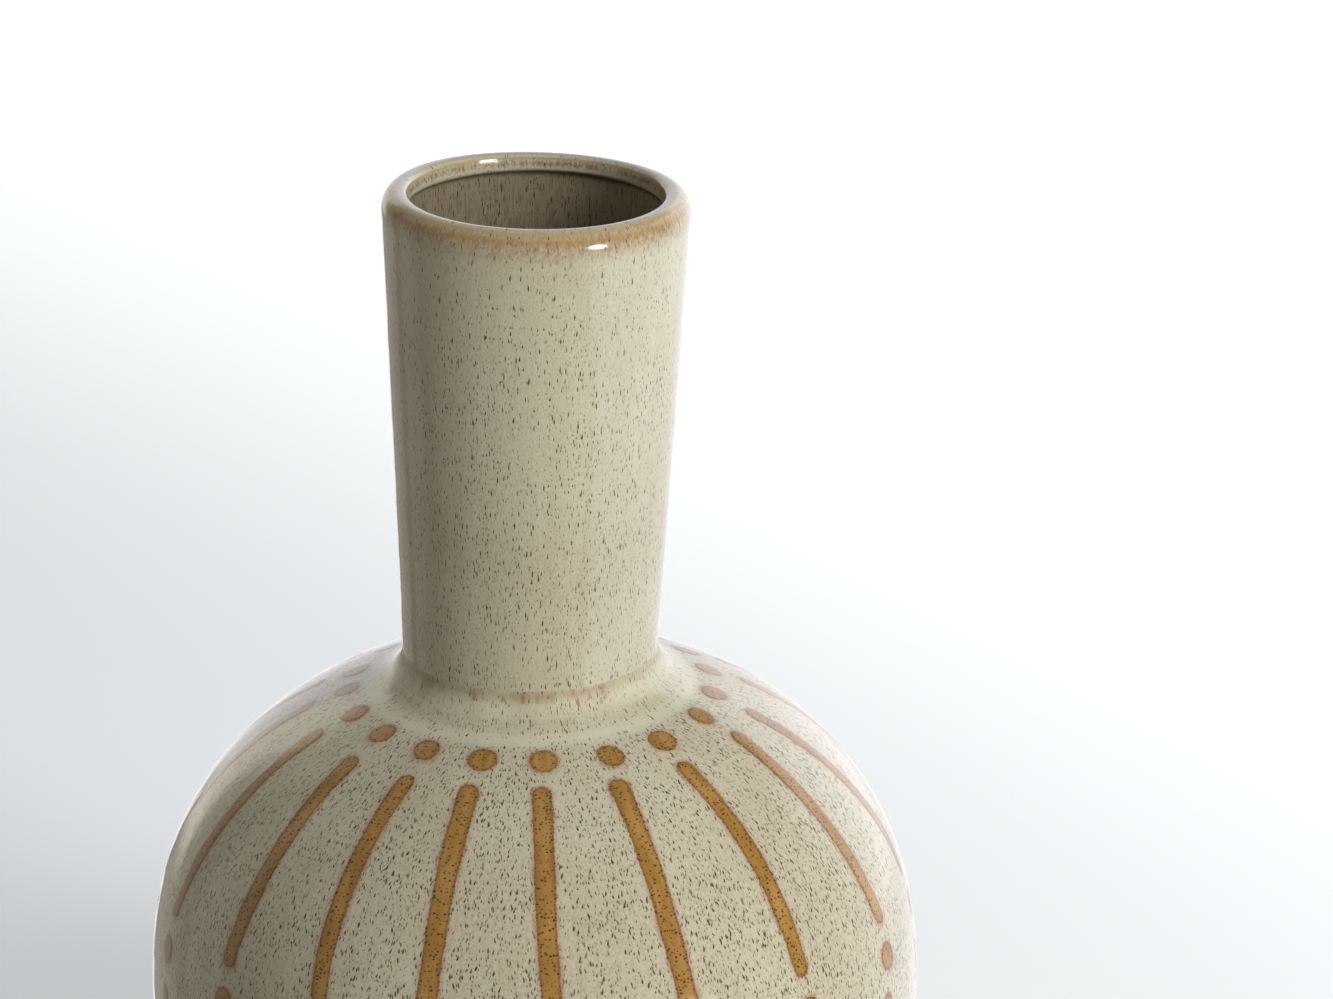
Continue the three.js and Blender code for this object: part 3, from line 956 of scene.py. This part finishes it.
def make_marks():
    """Each of the strokes round the globe, with its dabs above and below it."""
    random = np.random.default_rng(19)
    for i in range(1, STROKES + 1):
        number = f"{i:02d}"
        stripe_node = f"shoulder_stripe_{number}"
        turn = node_turn(stripe_node)
        upper, lower = any_wander(random), any_wander(random)
        upper = FRONT_STROKES.get(i, upper)
        shift, drop = FRONT_DABS.get(i, (lower[0] / 2, 0.4 * lower[1]))
        over = turn + math.radians(shift)
        under = turn + math.radians(upper[0] + upper[1] / 2)
        dab_arc = SHOULDER_DOT_ARC + drop
        make_dab(f"dab_shoulder_{number}", dab_arc, over, random, f"shoulder_dot_{number}")
        make_stroke(f"stroke_shoulder_{number}", STRIPE_ARCS, turn, upper, random, stripe_node)
        make_dab(f"dab_waist_{number}", WAIST_DOT_ARC, under, random, f"waist_dot_{number}")
        make_stroke(f"stroke_belly_{number}", BELLY_STRIPE_ARCS, turn, lower, random)
        make_dab(f"dab_foot_{number}", FOOT_DOT_ARC, turn, random)


make_globe()
make_neck()
make_coil()
make_marks()


# ---------------------------------------------------------------- studio
VASE_MIDDLE = (0, 0, 0.2)


def soft_box(name, azimuth, elevation, distance, width, height, power):
    """A rectangular light that faces the middle of the vase."""
    lamp = bpy.data.lights.new(name, "AREA")
    lamp.shape = "RECTANGLE"
    lamp.size, lamp.size_y = width, height
    lamp.energy = power
    made = bpy.data.objects.new(name, lamp)
    bpy.context.scene.collection.objects.link(made)
    direction = towards(azimuth, elevation)
    made.location = direction * distance + np.array(VASE_MIDDLE)
    made.rotation_mode = "QUATERNION"
    made.rotation_quaternion = mathutils.Vector(-direction).to_track_quat("-Z", "Y")
    made.visible_glossy = False


FLOOR_GLOW = (0.29, 0.63)  # from the near left to the far right
FLOOR_REACH = (0.10, 1.25)  # where that change begins and ends, in metres towards the far right
FLOOR_RADIUS = 8
FLOOR_DEPTH = 0.0002  # how far the floor lies under the foot


def make_floor():
    """A pale floor that brightens towards the far right, like a sweep lit from there: the brightening is
    painted light, an emission glow.
    """
    material, g = new_material("studio_floor")
    x, y, _ = g.split(g.node("ShaderNodeTexCoord").outputs["Object"])
    away = g.smooth(g.add(y, g.mul(x, 1.1)), *FLOOR_REACH)
    shader = g.node("ShaderNodeBsdfPrincipled")
    shader.inputs["Base Color"].default_value = (0.84, 0.86, 0.88, 1)
    shader.inputs["Roughness"].default_value = 0.8
    # painted light: the floor glows by emission, brighter towards the far right
    g.feed(shader.inputs["Emission Color"], g.mix(away, (0.80, 0.90, 1.0), (0.97, 0.99, 1.0)))
    g.feed(shader.inputs["Emission Strength"], g.smooth(away, 0.0, 1.0, *FLOOR_GLOW))
    g.feed(g.node("ShaderNodeOutputMaterial").inputs[0], shader.outputs[0])
    place = (0, 0, -FLOOR_DEPTH)
    bpy.ops.mesh.primitive_circle_add(vertices=96, radius=FLOOR_RADIUS, fill_type="NGON", location=place)
    floor = bpy.context.object
    floor.name = "studio_floor"
    floor.data.materials.append(material)
    floor.visible_diffuse = False
    floor.visible_glossy = False
    floor.visible_shadow = False


# The world stands for the room: an even glow, with soft-edged zones in it. Each zone is (azimuths,
# elevations, radiance, colour), and its angles say where it starts, is full, starts to fall and ends.
AMBIENT = (0.26, (1.0, 0.96, 0.86))
ZONES = (
    ((8, 46, 66, 84), (-16, -8, 22, 36), 1.95, (0.94, 0.94, 1.0)),  # bright window, behind right
    ((66, 84, 120, 128), (-16, -8, 22, 36), 1.20, (0.97, 0.955, 1.0)),  # sweep behind
    ((8, 46, 104, 108), (-90, -90, -16, -8), 1.30, (0.94, 0.94, 1.0)),  # foot of the sweep
    ((-44, -36, 8, 46), (-90, -90, -21, -17), 1.30, (0.80, 0.90, 1.0)),  # table top, front right
    ((108, 114, 134, 140), (-40, -35, 42, 62), 0.48, (1.0, 0.95, 0.82)),  # wall on the left
    ((143, 149, 160, 174), (-40, -35, 42, 62), 0.48, (1.0, 0.95, 0.82)),
)
LOW_LAMP = (-45, 2.5)  # azimuth and elevation of a small bright lamp that glints on the rim
LOW_LAMP_RADIUS = 7
LOW_LAMP_EDGE = 2  # degrees over which its edge fades
LOW_LAMP_RADIANCE = 18.0


def window(g, value, edges):
    """1 between the inner two edges, falling to 0 at the outer two. It may have no lower edge."""
    rise, full, fall, gone = edges
    inside = g.smooth(value, rise, full) if rise < full else 1.0
    return g.mul(inside, g.smooth(value, fall, gone, 1.0, 0.0))


def make_world():
    """The room: dim in front, a bright sweep behind and to the right."""
    world = bpy.data.worlds.new("studio")
    bpy.context.scene.world = world
    world.use_nodes = True
    world.node_tree.nodes.clear()
    g = Graph(world.node_tree)
    x, y, z = g.split(g.node("ShaderNodeTexCoord").outputs["Generated"])
    azimuth = g.mul(g.math("ARCTAN2", y, x), 180 / math.pi)
    elevation = g.mul(g.math("ARCSINE", z), 180 / math.pi)
    ambient, colour = AMBIENT
    strength = ambient
    for azimuths, elevations, radiance, tint in ZONES:
        here = g.mul(window(g, azimuth, azimuths), window(g, elevation, elevations))
        strength = g.add(strength, g.mul(here, radiance - ambient))
        colour = g.mix(here, colour, tint)
    lamp = [float(part) for part in towards(*LOW_LAMP)]
    facing = g.add(g.add(g.mul(x, lamp[0]), g.mul(y, lamp[1])), g.mul(z, lamp[2]))
    outer_edge = math.cos(math.radians(LOW_LAMP_RADIUS + LOW_LAMP_EDGE))
    glint = g.smooth(facing, outer_edge, math.cos(math.radians(LOW_LAMP_RADIUS)))
    back = g.node("ShaderNodeBackground")
    g.feed(back.inputs["Color"], colour)
    g.feed(back.inputs["Strength"], g.math("MAXIMUM", strength, g.mul(glint, LOW_LAMP_RADIANCE)))
    g.feed(g.node("ShaderNodeOutputWorld").inputs[0], back.outputs[0])


CAMERA_YAW = 0.0319  # to the right of straight ahead, in radians
CAMERA_PITCH = 0.3519  # down
CAMERA_ROLL = -0.00455
CAMERA_DISTANCE = 1.3702  # in front of the vase's axis
CAMERA_ABOVE_RIM = 0.4009
CAMERA_SENSOR = 36.0  # millimetres, like the lens
CAMERA_LENS = 124.8


def make_camera():
    """The camera, in front of the vase and looking down at it."""
    data = bpy.data.cameras.new("camera")
    camera = bpy.data.objects.new("camera", data)
    bpy.context.scene.collection.objects.link(camera)
    bpy.context.scene.camera = camera
    data.sensor_width = CAMERA_SENSOR
    data.lens = CAMERA_LENS
    forward = towards(90 - math.degrees(CAMERA_YAW), -math.degrees(CAMERA_PITCH))
    right = np.array([math.cos(CAMERA_YAW), -math.sin(CAMERA_YAW), 0.0])
    up = np.cross(right, forward)
    matrix = np.eye(4)
    matrix[:3, 0] = math.cos(CAMERA_ROLL) * right + math.sin(CAMERA_ROLL) * up
    matrix[:3, 1] = math.cos(CAMERA_ROLL) * up - math.sin(CAMERA_ROLL) * right
    matrix[:3, 2] = -forward
    matrix[:3, 3] = (0.0, -CAMERA_DISTANCE, RIM_HEIGHT * MM + CAMERA_ABOVE_RIM)
    camera.matrix_world = mathutils.Matrix(matrix.tolist())


make_floor()
make_world()
make_camera()
soft_box("key", azimuth=-44, elevation=30, distance=2.2, width=0.9, height=0.9, power=31.8)
bpy.context.scene.view_settings.view_transform = "Standard"
